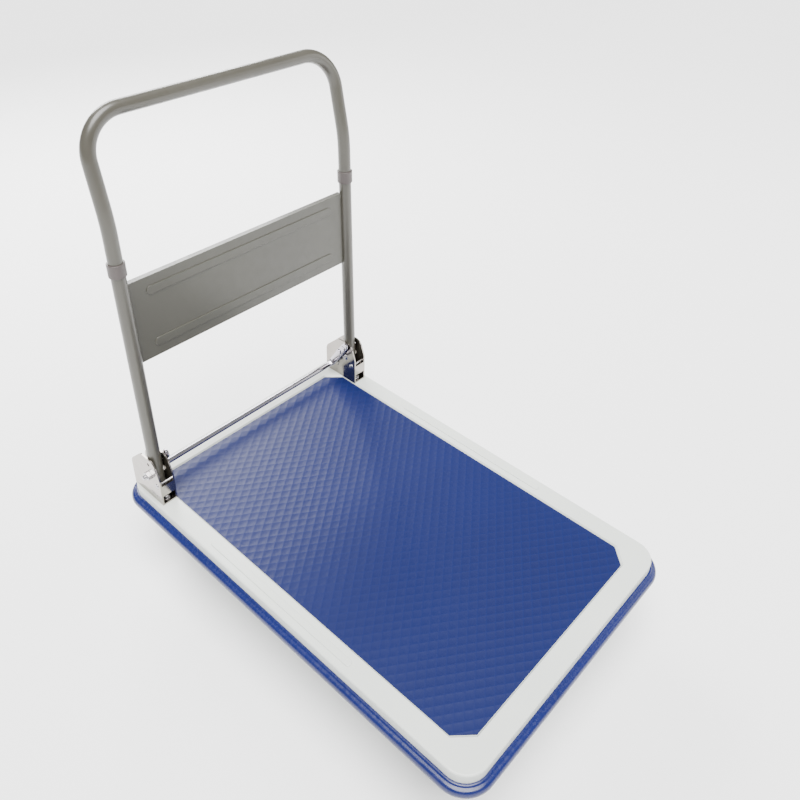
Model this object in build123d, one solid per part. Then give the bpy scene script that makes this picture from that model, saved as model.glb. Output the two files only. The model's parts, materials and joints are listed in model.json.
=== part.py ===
from build123d import *
import math
import os

# Folding platform cart: a pressed steel deck with a rubber mat and an edge bumper, a tubular
# push handle that folds forward onto the deck between two plated brackets, a foot bar that
# locks it, two fixed casters at the nose and two swivel casters under the handle.
# Frame: origin on the floor, at the centre of the footprint. +X points to the nose, away from
# the handle, +Y to the left-hand side, +Z up. All lengths are millimetres, angles degrees.

# ---------------------------------------------------------------- deck
overall_length = 900.0        # over the bumper
overall_width = 600.0
bumper_proud = 14.0           # how far the bumper stands out from the steel
bumper_height = 24.0
bumper_drop = 20.0            # bumper's top edge below the deck's top
bumper_round = 8.5
margin_width = 41.0           # painted border, from the steel side to the mat
deck_corner = 42.0            # plan radius of the steel deck
deck_edge_round = 3.0
deck_depth = 46.0             # height of the pressed side wall
deck_skin = 2.0               # sheet thickness of the deck
deck_hem = 14.0               # return flange at the foot of the side wall
tray_depth = 4.0              # how far the mat's tray is sunk below the border
tray_flare = 3.0              # the tray's wall leans out by this much
mat_gap = 0.5
mat_thickness = 2.0
mat_chamfer = 30.0
bead_length = 363.0           # pressed bead on each long border
bead_width = 13.5
bead_height = 1.8
bead_round = 1.5              # of the bead's upper edge
bead_from_rear = 446.0        # bead's centre from the rear of the bumper
bead_from_side = 33.0         # bead's centre line from the side of the bumper

# ---------------------------------------------------------------- rails under the deck
rail_margin = 6.0             # rail's crown beyond the caster plate's edges
rail_height = 29.0
rail_flange = 16.0
rail_skin = 2.0
rail_end_gap = 5.0
stringer_width = 40.0
stringer_height = 20.0
stringer_flange = 12.0
stringer_offset = 118.0       # centre line from the deck's centre line
stringer_gap = 1.0

# ---------------------------------------------------------------- casters
wheel_diameter = 125.0
wheel_width = 32.0
tyre_shoulder = 6.4           # radius of the tyre's shoulders
rim_inset = 1.0               # the rim's sides lie this much inside the tyre's
tyre_depth = 12.5             # of rubber, from the tread to the rim
rim_wall = 7.0
web_thickness = 7.0
hub_diameter = 34.0
hub_proud = 2.0               # the hub stands out of each side of the tyre
hub_side_gap = 1.0            # from the hub to the fork
bush_wall = 4.0
axle_radius = 5.0
running_gap = 0.06            # radial play of a turning joint
fork_skin = 3.0
axle_boss = 14.0              # radius of the fork's end round the axle
caster_head = 30.0            # top of the plate above the top of the wheel
caster_plate_length = 100.0
caster_plate_width = 86.0
caster_plate_skin = 3.0
caster_plate_round = 6.0
plate_hole_inset_x = 10.0     # bolt holes from the plate's edges
plate_hole_inset_y = 12.0
swivel_trail = 38.0
crown_radius = 28.0
swivel_cheek_top = 16.8       # half the width of a fork cheek's top edge
fixed_cheek_top = 36.0
ball_radius = 2.8
ball_count = 14
ball_circle = 22.0
ball_play = 0.4               # of the balls between crown and plate
race_room = 2.2               # between the balls and the race's rim
race_wall = 2.5
race_gap = 1.0                # between the race's rim and the crown
kingpin_radius = 5.0
kingpin_room = 3.8            # between the kingpin's head and the rail's hole round it
caster_inset_side = 110.0     # wheel's middle from the side of the bumper
front_caster_inset = 130.0    # axle from the nose of the bumper
rear_caster_inset = 150.0     # swivel axis from the rear of the bumper

# ---------------------------------------------------------------- brackets
pivot_from_rear = 92.0        # handle pivot from the rear of the bumper
pivot_height = 61.0           # handle pivot above the border
leg_inset = 37.4              # leg's axis from the side of the bumper
ear_skin = 3.0
ear_side_gap = 0.5
ear_behind = 62.0             # bracket's rear edge behind the pivot
ear_ahead = 32.5              # bracket's front edge ahead of the pivot
ear_height = 102.0
ear_shoulder = 64.0           # where the rear and the front edges start to lean in
ear_top_rear = 23.0           # the top edge's ends, behind and ahead of the pivot
ear_top_front = 19.0
ear_rear_round = 22.0
ear_front_round = 20.0
bridge_width = 25.5           # cross plate between the ears
bridge_gap = 0.8              # from its top edge up to the folded leg
stop_radius = 4.0             # pin across the ears that the folded leg comes down to
stop_ahead = 21.0             # ahead of the pivot
stop_gap = 0.8                # from the pin up to the folded leg
stop_head_radius = 5.8
stop_head = 1.6
bolt_rear_inset = 17.0        # bracket bolts from the ear's rear and front edges
bolt_front_inset = 13.5

# ---------------------------------------------------------------- handle
tube_diameter = 25.4
tube_wall = 1.6
leg_lean = 1.5                # handle leans back at rest
top_lean = 10.5               # the upper part leans back by this much more
leg_below_pivot = 38.0
tube_joint = 449.0            # from the pivot, along the leg
tube_bend = 533.0
bend_radius = 300.0
top_length = 169.7            # from the bend to the push bar, along the tube
corner_radius = 70.0
pivot_bolt_radius = 5.0
pivot_bush_wall = 2.0
collar_length = 25.0
collar_wall = 2.8
collar_round = 1.2
spigot_length = 70.0
spigot_wall = 1.5
panel_low = 251.0             # from the pivot, along the leg
panel_high = 414.0
panel_skin = 1.2
panel_flange = 11.0
panel_bead_end = 31.9         # bead's ends from the legs
panel_bead_width = 18.0
panel_bead_height = 1.6
panel_bead_round = 1.3
panel_bead_inset = 28.0       # bead's centre line from the panel's edge

# ---------------------------------------------------------------- foot bar and lock
bar_radius = 6.0
bar_behind = 39.0             # bar's axis behind the handle's pivot
bar_below = 35.0              # and below it
arm_width = 18.0
arm_skin = 4.5
arm_past_lock = 8.3           # the arm's end is centred this far past the lock pin
lever_behind = 11.5           # the foot bar's own pivot, behind and above the handle's
lever_above = 13.5
stud_radius = 4.0
stud_head = 6.5
head_thickness = 2.0
head_round = 1.2
face_gap = 0.3                # between faces that slide past each other
lock_ahead = 1.5              # lock pin, ahead of and above the handle's pivot
lock_above = 27.0
lock_radius = 3.5
lock_play = 0.4
lock_travel = 15.0            # the foot bar's stroke
slot_steps = 4                # round holes that make up the lock pin's slot
spring_wire = 0.5             # radius of the wire
spring_bore = 1.1             # between the stud and the coil
spring_pitch = 1.1
spring_turns = 2.0
spring_gap = 0.1              # between the spring and the ear
spring_room = 0.5             # between the spring and the arm
anchor_behind = 23.5          # the spring's tail sits in this hole of the inner ear
anchor_below = 35.5
anchor_play = 1.1             # between the tail and the hole

# ---------------------------------------------------------------- fasteners
m8_radius = 4.0
m8_play = 0.25                # of the bolts in their holes
m8_flats = 13.0
m8_head = 5.3
m8_nut = 6.5
m10_flats = 16.0
m10_head = 4.6
m10_nut = 8.0
thread_past_nut = 3.0
pivot_thread_past_nut = 7.0
pivot_head_radius = 9.0
pivot_head = 1.8

over = 1.0                    # how far a cut runs past the face it opens

# ---------------------------------------------------------------- places that follow
m8_hole = m8_radius + m8_play
half_length = overall_length / 2
half_width = overall_width / 2
steel_length = overall_length - 2 * bumper_proud
steel_width = overall_width - 2 * bumper_proud
mat_length = steel_length - 2 * margin_width
mat_width = steel_width - 2 * margin_width

wheel_radius = wheel_diameter / 2
rim_radius = wheel_radius - tyre_depth
hub_width = wheel_width + 2 * hub_proud
caster_height = wheel_diameter + caster_head
rail_top = caster_height + rail_height
tray_floor = rail_top + deck_skin
deck_top = tray_floor + tray_depth
deck_bottom = deck_top - deck_depth
border_underside = deck_top - deck_skin

caster_y = half_width - caster_inset_side
front_x = half_length - front_caster_inset
rear_x = -half_length + rear_caster_inset
plate_underside = caster_height - caster_plate_skin
crown_top = plate_underside - 2 * ball_radius - ball_play
race_inner = ball_circle + ball_radius + race_room
kingpin_hole = m10_flats / math.sqrt(3) + kingpin_room
plate_hole_x = caster_plate_length - 2 * plate_hole_inset_x
plate_hole_y = caster_plate_width - 2 * plate_hole_inset_y
rail_width = caster_plate_length + 2 * rail_margin
fork_inside = hub_width / 2 + hub_side_gap
fork_outside = fork_inside + fork_skin

tube_radius = tube_diameter / 2
pivot_x = -half_length + pivot_from_rear
pivot_z = deck_top + pivot_height
leg_y = half_width - leg_inset
inner_ear_out = leg_y - tube_radius - ear_side_gap
inner_ear_in = inner_ear_out - ear_skin
outer_ear_in = leg_y + tube_radius + ear_side_gap
outer_ear_out = outer_ear_in + ear_skin

spring_coil = stud_radius + spring_bore + spring_wire
anchor_radius = spring_wire + anchor_play
arm_gap = spring_gap + 2 * spring_wire + spring_pitch * spring_turns + spring_room
arm_out = inner_ear_in - arm_gap
arm_in = arm_out - arm_skin
bar_x = pivot_x - bar_behind
bar_z = pivot_z - bar_below
lever_x = pivot_x - lever_behind
lever_z = pivot_z + lever_above
stop_x = pivot_x + stop_ahead
stop_z = pivot_z - tube_radius - stop_gap - stop_radius
lock_x = pivot_x + lock_ahead
lock_z = pivot_z + lock_above


# ---------------------------------------------------------------- shapes used again and again
def block(low, high):
    """A box between two corners."""
    size = [high[i] - low[i] for i in range(3)]
    middle = [(high[i] + low[i]) / 2 for i in range(3)]
    return Pos(*middle) * Box(*size)


def rounded_block(length, width, radius, low, high):
    """A box with rounded corners in plan, centred on the deck."""
    return Pos(0, 0, low) * extrude(RectangleRounded(length, width, radius), amount=high - low)


def rod_y(x, z, radius, y0, y1):
    """A round bar along Y."""
    return Pos(x, (y0 + y1) / 2, z) * Rot(90, 0, 0) * Cylinder(radius, abs(y1 - y0))


def rod_z(x, y, radius, z0, z1):
    """A round bar along Z."""
    return Pos(x, y, (z0 + z1) / 2) * Cylinder(radius, z1 - z0)


def plate_y(face, y0, y1):
    """A face drawn in X and Z, made a plate that runs from y0 up to y1."""
    plane = Plane(origin=(0, y1, 0), x_dir=(1, 0, 0), z_dir=(0, -1, 0))
    return extrude(plane * face, amount=y1 - y0)


def hex_z(x, y, flats, z0, z1):
    """A hexagon bar along Z."""
    outline = RegularPolygon(flats / 2, 6, major_radius=False)
    return Pos(x, y, z0) * extrude(outline, amount=z1 - z0)


def hex_y(x, z, flats, y0, y1):
    """A hexagon bar along Y."""
    outline = Pos(x, z) * RegularPolygon(flats / 2, 6, major_radius=False)
    return plate_y(outline, y0, y1)


def octagon(length, width, cut, z):
    """A rectangle with cut corners, as a face at height z."""
    a = length / 2
    b = width / 2
    corners = [(a - cut, b), (a, b - cut), (a, cut - b), (a - cut, -b)]
    corners = corners + [(-x, y) for x, y in reversed(corners)]
    return Pos(0, 0, z) * make_face(Polyline(*corners, close=True))


def tray_block(low, high, gap):
    """The tray's space: the mat's outline plus a gap, leaning out from the tray's floor up."""
    def ring(z):
        grow = gap + (z - tray_floor) * tray_flare / tray_depth
        return octagon(mat_length + 2 * grow, mat_width + 2 * grow, mat_chamfer, z)
    return loft([ring(low), ring(high)])


def hat_section(width, height, flange, skin, length):
    """A hat-shaped channel along X, its crown down at z = 0 and its flanges at the top."""
    profile = Pos(0, skin / 2) * Rectangle(width, skin)
    for side in (-1, 1):
        profile += Pos(side * (width - skin) / 2, height / 2) * Rectangle(skin, height)
        middle = side * (width + flange - skin) / 2
        profile += Pos(middle, height - skin / 2) * Rectangle(flange + skin, skin)
    plane = Plane(origin=(-length / 2, 0, 0), x_dir=(0, 1, 0), z_dir=(1, 0, 0))
    return extrude(plane * profile, amount=length)


def both_sides(shape):
    """A left-hand piece and its mirror image on the right, as one group."""
    return group([shape, mirror(shape, about=Plane.XZ)])


def group(shapes):
    """Separate pieces that share one name."""
    solids = []
    for shape in shapes:
        solids.extend(shape.solids())
    return Compound(children=solids)


def save(name, shape):
    export_step(shape, f"parts/{name}.step")


def save_pair(name, shape):
    """The left-hand piece, and its mirror image as the right-hand one."""
    save(name + "_left", shape)
    save(name + "_right", mirror(shape, about=Plane.XZ))


# ---------------------------------------------------------------- deck
def bracket_bolt_places():
    rear = pivot_x - ear_behind + bolt_rear_inset
    front = pivot_x + ear_ahead - bolt_front_inset
    return [(rear, leg_y), (front, leg_y)]


def border_bead(width, z0, z1):
    """The pressed bead of one long border, as a long rounded bar."""
    x = -half_length + bead_from_rear
    y = half_width - bead_from_side
    return Pos(x, y, z0) * extrude(SlotOverall(bead_length - bead_width + width, width), amount=z1 - z0)


def deck_plate():
    shell = rounded_block(steel_length, steel_width, deck_corner, deck_bottom, deck_top)
    shell = fillet(shell.edges().group_by(Axis.Z)[-1], deck_edge_round)
    hollow = rounded_block(steel_length - 2 * deck_skin, steel_width - 2 * deck_skin,
                           deck_corner - deck_skin, deck_bottom + deck_skin, border_underside)
    hollow = fillet(hollow.edges().group_by(Axis.Z)[-1], deck_edge_round - deck_skin)
    mouth = rounded_block(steel_length - 2 * deck_hem, steel_width - 2 * deck_hem,
                          deck_corner - deck_hem, deck_bottom - deck_skin, deck_bottom + 2 * deck_skin)
    # The tray's underside follows its top, one skin away, up into the middle of the border's sheet.
    tray = tray_block(rail_top, border_underside + deck_skin / 2, mat_gap + deck_skin * 2)
    recess = tray_block(tray_floor, deck_top + deck_skin, mat_gap)
    deck = shell - hollow - mouth + tray - recess
    raised = border_bead(bead_width, deck_top - deck_skin / 2, deck_top + bead_height)
    raised = fillet(raised.edges().group_by(Axis.Z)[-1], bead_round)
    sunk = border_bead(bead_width - 2 * deck_skin, border_underside - deck_skin,
                       border_underside + bead_height)
    deck = deck + raised + mirror(raised, about=Plane.XZ)
    deck = deck - sunk - mirror(sunk, about=Plane.XZ)
    for x, y in bracket_bolt_places():
        for side in (1, -1):
            deck -= rod_z(x, side * y, m8_hole, border_underside - deck_skin, deck_top + deck_skin)
    return deck


def deck_mat():
    sheet = octagon(mat_length, mat_width, mat_chamfer, tray_floor)
    return extrude(sheet, amount=mat_thickness, dir=(0, 0, 1))


def edge_bumper():
    top = deck_top - bumper_drop
    corner = deck_corner + bumper_proud
    ring = rounded_block(overall_length, overall_width, corner, top - bumper_height, top)
    ring = fillet(ring.edges().group_by(Axis.Z)[-1] + ring.edges().group_by(Axis.Z)[0], bumper_round)
    low = top - bumper_height - over
    return ring - rounded_block(steel_length, steel_width, deck_corner, low, top + over)


# ---------------------------------------------------------------- rails
def plate_holes(x, y):
    return [(x + i * plate_hole_x / 2, y + j * plate_hole_y / 2) for i in (-1, 1) for j in (-1, 1)]


def cross_rail(x, swivel):
    """A hat channel across the deck, with the holes for its two casters."""
    length = mat_width - 2 * rail_end_gap
    web_top = caster_height + rail_skin
    rail = hat_section(rail_width, rail_height, rail_flange, rail_skin, length)
    rail = Pos(x, 0, caster_height) * Rot(0, 0, 90) * rail
    for side in (1, -1):
        for hx, hy in plate_holes(x, side * caster_y):
            rail -= rod_z(hx, hy, m8_hole, caster_height - over, web_top + over)
        if swivel:
            rail -= rod_z(x, side * caster_y, kingpin_hole, caster_height - over, web_top + over)
    return rail


def stringer():
    """A smaller hat channel along the deck, from rail to rail."""
    reach = rail_width / 2 + rail_flange + stringer_gap
    start = rear_x + reach
    stop = front_x - reach
    beam = hat_section(stringer_width, stringer_height, stringer_flange, rail_skin, stop - start)
    return Pos((start + stop) / 2, stringer_offset, rail_top - stringer_height) * beam


# ---------------------------------------------------------------- casters
def wheel_parts(x):
    """Tyre, wheel core and bush of one left-hand caster, its axle at x."""
    y = caster_y
    z = wheel_radius
    half = wheel_width / 2
    tyre = rod_y(x, z, wheel_radius, y - half, y + half)
    tyre = fillet(tyre.edges(), tyre_shoulder) - rod_y(x, z, rim_radius, y - half, y + half)
    rim = rod_y(x, z, rim_radius, y - half + rim_inset, y + half - rim_inset)
    rim -= rod_y(x, z, rim_radius - rim_wall, y - half, y + half)
    web = rod_y(x, z, rim_radius - rim_wall / 2, y - web_thickness / 2, y + web_thickness / 2)
    hub = rod_y(x, z, hub_diameter / 2, y - hub_width / 2, y + hub_width / 2)
    bore = axle_radius + running_gap
    core = rim + web + hub - rod_y(x, z, bore + bush_wall, y - hub_width, y + hub_width)
    bush = rod_y(x, z, bore + bush_wall, y - hub_width / 2, y + hub_width / 2)
    bush -= rod_y(x, z, bore, y - hub_width, y + hub_width)
    return tyre, core, bush


def axle_bolt(x):
    y = caster_y
    end = y + fork_outside + m10_nut + thread_past_nut
    bolt = rod_y(x, wheel_radius, axle_radius, y - fork_outside, end)
    return bolt + hex_y(x, wheel_radius, m10_flats, y - fork_outside - m10_head, y - fork_outside)


def axle_nut(x):
    y = caster_y + fork_outside
    nut = hex_y(x, wheel_radius, m10_flats, y, y + m10_nut)
    return nut - rod_y(x, wheel_radius, axle_radius, y - over, y + m10_nut + over)


def fork_legs(axle_x, top_x, top_half, top_z):
    """Two cheeks from a top edge down to the round ends at the axle."""
    z = wheel_radius
    rear = (top_x - top_half, top_z)
    front = (top_x + top_half, top_z)
    low_front = (axle_x + axle_boss, z)
    low_rear = (axle_x - axle_boss, z)
    outline = make_face(Polyline(rear, front, low_front, low_rear, close=True))
    outline += Pos(axle_x, z) * Circle(axle_boss)
    legs = []
    for y0, y1 in ((-fork_outside, -fork_inside), (fork_inside, fork_outside)):
        cheek = plate_y(outline, caster_y + y0, caster_y + y1)
        legs.append(cheek - rod_y(axle_x, z, axle_radius, caster_y + y0 - over, caster_y + y1 + over))
    return legs


def caster_plate(x):
    outline = RectangleRounded(caster_plate_length, caster_plate_width, caster_plate_round)
    plate = Pos(x, caster_y, plate_underside) * extrude(outline, amount=caster_plate_skin)
    for hx, hy in plate_holes(x, caster_y):
        plate -= rod_z(hx, hy, m8_hole, plate_underside - over, caster_height + over)
    return plate


def swivel_plate():
    plate = caster_plate(rear_x)
    race = rod_z(rear_x, caster_y, race_inner + race_wall, crown_top + race_gap, plate_underside)
    race -= rod_z(rear_x, caster_y, race_inner, crown_top, plate_underside)
    bore = kingpin_radius + running_gap
    return plate + race - rod_z(rear_x, caster_y, bore, crown_top, caster_height + over)


def swivel_fork():
    crown = rod_z(rear_x, caster_y, crown_radius, crown_top - fork_skin, crown_top)
    left, right = fork_legs(rear_x - swivel_trail, rear_x, swivel_cheek_top, crown_top - fork_skin / 2)
    fork = crown + left + right
    return fork - rod_z(rear_x, caster_y, kingpin_radius, crown_top - 2 * fork_skin, crown_top + over)


def swivel_balls():
    balls = []
    for i in range(ball_count):
        turn = 2 * math.pi * i / ball_count
        place = (rear_x + ball_circle * math.cos(turn), caster_y + ball_circle * math.sin(turn))
        balls.append(Pos(*place, crown_top + ball_radius) * Sphere(ball_radius))
    return group(balls)


def kingpin():
    foot = crown_top - fork_skin - m10_nut - thread_past_nut
    head = caster_height + face_gap
    pin = rod_z(rear_x, caster_y, kingpin_radius, foot, head)
    return pin + hex_z(rear_x, caster_y, m10_flats, head, head + m10_head)


def kingpin_nut():
    top = crown_top - fork_skin
    nut = hex_z(rear_x, caster_y, m10_flats, top - m10_nut, top)
    return nut - rod_z(rear_x, caster_y, kingpin_radius, top - m10_nut - over, top + over)


def fixed_fork():
    left, right = fork_legs(front_x, front_x, fixed_cheek_top, plate_underside + caster_plate_skin / 2)
    return caster_plate(front_x) + left + right


def caster_fasteners():
    """Bolts up through plate and rail, and their nuts inside the rail."""
    bolts = []
    nuts = []
    web_top = caster_height + rail_skin
    for x in (rear_x, front_x):
        for side in (1, -1):
            for hx, hy in plate_holes(x, side * caster_y):
                shank = rod_z(hx, hy, m8_radius, plate_underside, web_top + m8_nut + thread_past_nut)
                bolts.append(shank + hex_z(hx, hy, m8_flats, plate_underside - m8_head, plate_underside))
                nut = hex_z(hx, hy, m8_flats, web_top, web_top + m8_nut)
                nuts.append(nut - rod_z(hx, hy, m8_radius, web_top - over, web_top + m8_nut + over))
    return group(bolts), group(nuts)


# ---------------------------------------------------------------- brackets
def ear_outline():
    """The ear: upright edges below the shoulder, then leaning in to a rounded top."""
    base = deck_top
    shoulder = deck_top + ear_shoulder
    top = deck_top + ear_height
    rear = pivot_x - ear_behind
    front = pivot_x + ear_ahead
    corners = [(rear, base), (front, base), (front, shoulder), (pivot_x + ear_top_front, top),
               (pivot_x - ear_top_rear, top), (rear, shoulder)]
    face = make_face(Polyline(*corners, close=True))
    rounds = [(front, shoulder, ear_front_round), (pivot_x + ear_top_front, top, ear_front_round),
              (pivot_x - ear_top_rear, top, ear_rear_round), (rear, shoulder, ear_rear_round)]
    for x, z, radius in rounds:
        corner = face.vertices().sort_by_distance((x, z, 0))[0]
        face = fillet(corner, radius)
    return face


def lock_slot():
    """The slot in the inner ear that the lock pin swings in, with play all round it."""
    radius = lock_radius + lock_play
    reach = math.hypot(lock_x - lever_x, lock_z - lever_z)
    start = math.degrees(math.atan2(lock_z - lever_z, lock_x - lever_x))
    slot = None
    for i in range(slot_steps + 1):
        turn = math.radians(start + lock_travel * i / slot_steps)
        x = lever_x + reach * math.cos(turn)
        z = lever_z + reach * math.sin(turn)
        hole = rod_y(x, z, radius, inner_ear_in - over, inner_ear_out + over)
        slot = hole if slot is None else slot + hole
    return slot


def bracket():
    """One bent and welded plate: two ears, a foot between them and a cross plate at the front."""
    outline = ear_outline()
    inner = plate_y(outline, inner_ear_in, inner_ear_out)
    outer = plate_y(outline, outer_ear_in, outer_ear_out)
    rear = pivot_x - ear_behind
    front = pivot_x + ear_ahead
    foot = block((rear, inner_ear_out, deck_top), (front, outer_ear_in, deck_top + ear_skin))
    bridge_top = pivot_z - tube_radius - bridge_gap
    bridge = block((front - ear_skin, inner_ear_out, bridge_top - bridge_width),
                   (front, outer_ear_in, bridge_top))
    body = inner + outer + foot + bridge
    body -= rod_y(pivot_x, pivot_z, pivot_bolt_radius, inner_ear_in - over, outer_ear_out + over)
    body -= rod_y(stop_x, stop_z, stop_radius, inner_ear_in - over, outer_ear_out + over)
    body -= rod_y(lever_x, lever_z, stud_radius, inner_ear_in - over, inner_ear_out + over)
    body -= rod_y(lock_x, lock_z, lock_radius, outer_ear_in - over, outer_ear_out + over)
    body -= rod_y(pivot_x - anchor_behind, pivot_z - anchor_below, anchor_radius,
                  inner_ear_in - over, inner_ear_out + over)
    body -= lock_slot()
    for x, y in bracket_bolt_places():
        body -= rod_z(x, y, m8_hole, deck_top - over, deck_top + ear_skin + over)
    return body


def bracket_fasteners():
    bolts = []
    nuts = []
    seat = deck_top + ear_skin
    for x, y in bracket_bolt_places():
        shank = rod_z(x, y, m8_radius, border_underside - m8_nut - thread_past_nut, seat)
        bolts.append(shank + hex_z(x, y, m8_flats, seat, seat + m8_head))
        nut = hex_z(x, y, m8_flats, border_underside - m8_nut, border_underside)
        bore = rod_z(x, y, m8_radius, border_underside - m8_nut - over, border_underside + over)
        nuts.append(nut - bore)
    return both_sides(group(bolts)), both_sides(group(nuts))


def pivot_bolt():
    """A low round head on the inner ear, and a long thread outside the outer one."""
    end = outer_ear_out + m10_nut + pivot_thread_past_nut
    shank = rod_y(pivot_x, pivot_z, pivot_bolt_radius, inner_ear_in, end)
    return shank + rod_y(pivot_x, pivot_z, pivot_head_radius, inner_ear_in - pivot_head, inner_ear_in)


def stop_pin():
    """A rivet across both ears, with a flat round head on each side."""
    pin = rod_y(stop_x, stop_z, stop_radius, inner_ear_in - stop_head, outer_ear_out + stop_head)
    pin += rod_y(stop_x, stop_z, stop_head_radius, inner_ear_in - stop_head, inner_ear_in)
    return pin + rod_y(stop_x, stop_z, stop_head_radius, outer_ear_out, outer_ear_out + stop_head)


def pivot_nut():
    face = outer_ear_out
    nut = hex_y(pivot_x, pivot_z, m10_flats, face, face + m10_nut)
    return nut - rod_y(pivot_x, pivot_z, pivot_bolt_radius, face - over, face + m10_nut + over)


# ---------------------------------------------------------------- handle
# The handle is drawn with its pivot at the origin and its legs upright, then leant back.
handle_place = Pos(pivot_x, 0, pivot_z) * Rot(0, -leg_lean, 0)


def tube(path, start_direction):
    """A round tube along a path."""
    plane = Plane(origin=path @ 0, z_dir=start_direction)
    outside = sweep(plane * Circle(tube_radius), path=path)
    inside = sweep(plane * Circle(tube_radius - tube_wall), path=path)
    return outside - inside


def lower_tube():
    leg = rod_z(0, leg_y, tube_radius, -leg_below_pivot, tube_joint)
    leg -= rod_z(0, leg_y, tube_radius - tube_wall, -leg_below_pivot - over, tube_joint + over)
    across = (leg_y - tube_radius - over, leg_y + tube_radius + over)
    leg -= rod_y(0, 0, pivot_bolt_radius + running_gap + pivot_bush_wall, *across)
    turn = math.radians(leg_lean)
    hole_x = lock_ahead * math.cos(turn) + lock_above * math.sin(turn)
    hole_z = lock_above * math.cos(turn) - lock_ahead * math.sin(turn)
    leg -= rod_y(hole_x, hole_z, lock_radius + lock_play, *across)
    return handle_place * leg


def pivot_bush():
    bore = pivot_bolt_radius + running_gap
    ends = (leg_y - tube_radius, leg_y + tube_radius)
    bush = rod_y(0, 0, bore + pivot_bush_wall, *ends)
    return handle_place * (bush - rod_y(0, 0, bore, ends[0] - over, ends[1] + over))


def upper_tube():
    turn = math.radians(top_lean)
    top_x = -top_length * math.sin(turn)
    top_z = tube_bend + top_length * math.cos(turn)
    points = [(0, leg_y, tube_joint), (0, leg_y, tube_bend), (top_x, leg_y, top_z),
              (top_x, -leg_y, top_z), (0, -leg_y, tube_bend), (0, -leg_y, tube_joint)]
    path = FilletPolyline(*points, radius=[bend_radius, corner_radius, corner_radius, bend_radius])
    return handle_place * tube(path, (0, 0, 1))


def collar():
    low = tube_joint - collar_length / 2
    high = tube_joint + collar_length / 2
    ring = fillet(rod_z(0, leg_y, tube_radius + collar_wall, low, high).edges(), collar_round)
    return handle_place * (ring - rod_z(0, leg_y, tube_radius, low - over, high + over))


def spigot():
    """The sleeve inside the legs that joins the lower and the upper tube."""
    radius = tube_radius - tube_wall
    low = tube_joint - spigot_length / 2
    high = tube_joint + spigot_length / 2
    sleeve = rod_z(0, leg_y, radius, low, high)
    return handle_place * (sleeve - rod_z(0, leg_y, radius - spigot_wall, low - over, high + over))


def panel_bead(z, width, x0, x1):
    plane = Plane(origin=(x0, 0, z), x_dir=(0, 1, 0), z_dir=(1, 0, 0))
    length = 2 * (leg_y - tube_radius - panel_bead_end) - panel_bead_width + width
    return extrude(plane * SlotOverall(length, width), amount=x1 - x0)


def back_panel():
    """A sheet between the legs with folded edges and two pressed beads."""
    half = leg_y - tube_radius
    face = panel_skin / 2
    panel = block((-face, -half, panel_low), (face, half, panel_high))
    for z0 in (panel_low, panel_high - panel_skin):
        panel += block((face - panel_flange, -half, z0), (face, half, z0 + panel_skin))
    for z in (panel_low + panel_bead_inset, panel_high - panel_bead_inset):
        raised = panel_bead(z, panel_bead_width, -face, face + panel_bead_height)
        raised = fillet(raised.edges().group_by(Axis.X)[-1], panel_bead_round)
        sunk = panel_bead(z, panel_bead_width - 2 * panel_skin, -2 * face, panel_bead_height - face)
        panel = panel + raised - sunk
    return handle_place * panel


# ---------------------------------------------------------------- foot bar and lock
def arm_outline():
    """A flat strip with round ends, from the foot bar's axis up past the lock pin."""
    reach = math.hypot(lock_x - bar_x, lock_z - bar_z)
    run_x = (lock_x - bar_x) * (1 + arm_past_lock / reach)
    run_z = (lock_z - bar_z) * (1 + arm_past_lock / reach)
    middle = (bar_x + run_x / 2, bar_z + run_z / 2)
    length = math.hypot(run_x, run_z) + arm_width
    angle = math.degrees(math.atan2(run_z, run_x))
    return Pos(*middle) * Rot(0, 0, angle) * SlotOverall(length, arm_width)


def lock_rod():
    """The foot bar, with a flattened arm up the inside of each bracket."""
    arm = plate_y(arm_outline(), arm_in, arm_out)
    arm -= rod_y(lever_x, lever_z, stud_radius + running_gap, arm_in - over, arm_out + over)
    arm -= rod_y(lock_x, lock_z, lock_radius, arm_in - over, arm_out + over)
    bar = rod_y(bar_x, bar_z, bar_radius, -arm_out, arm_out)
    return bar + arm + mirror(arm, about=Plane.XZ)


def lock_pin():
    """Riveted in the arm, it ends flush in the slot of the inner ear."""
    pin = rod_y(lock_x, lock_z, lock_radius, arm_in, inner_ear_out - lock_play)
    head = rod_y(lock_x, lock_z, stud_head, arm_in - head_thickness, arm_in)
    return pin + fillet(head.edges().sort_by(Axis.Y)[0], head_round)


def lever_stud():
    """The foot bar's pivot, fixed in the inner ear."""
    seat = arm_in - face_gap
    stud = rod_y(lever_x, lever_z, stud_radius, seat, inner_ear_out)
    head = rod_y(lever_x, lever_z, stud_head, seat - head_thickness, seat)
    return stud + fillet(head.edges().sort_by(Axis.Y)[0], head_round)


def wire(start, stop):
    """A straight stretch of spring wire with a round end."""
    run = Vector(*stop) - Vector(*start)
    plane = Plane(origin=start, z_dir=run)
    return extrude(plane * Circle(spring_wire), amount=run.length) + Pos(*stop) * Sphere(spring_wire)


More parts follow.
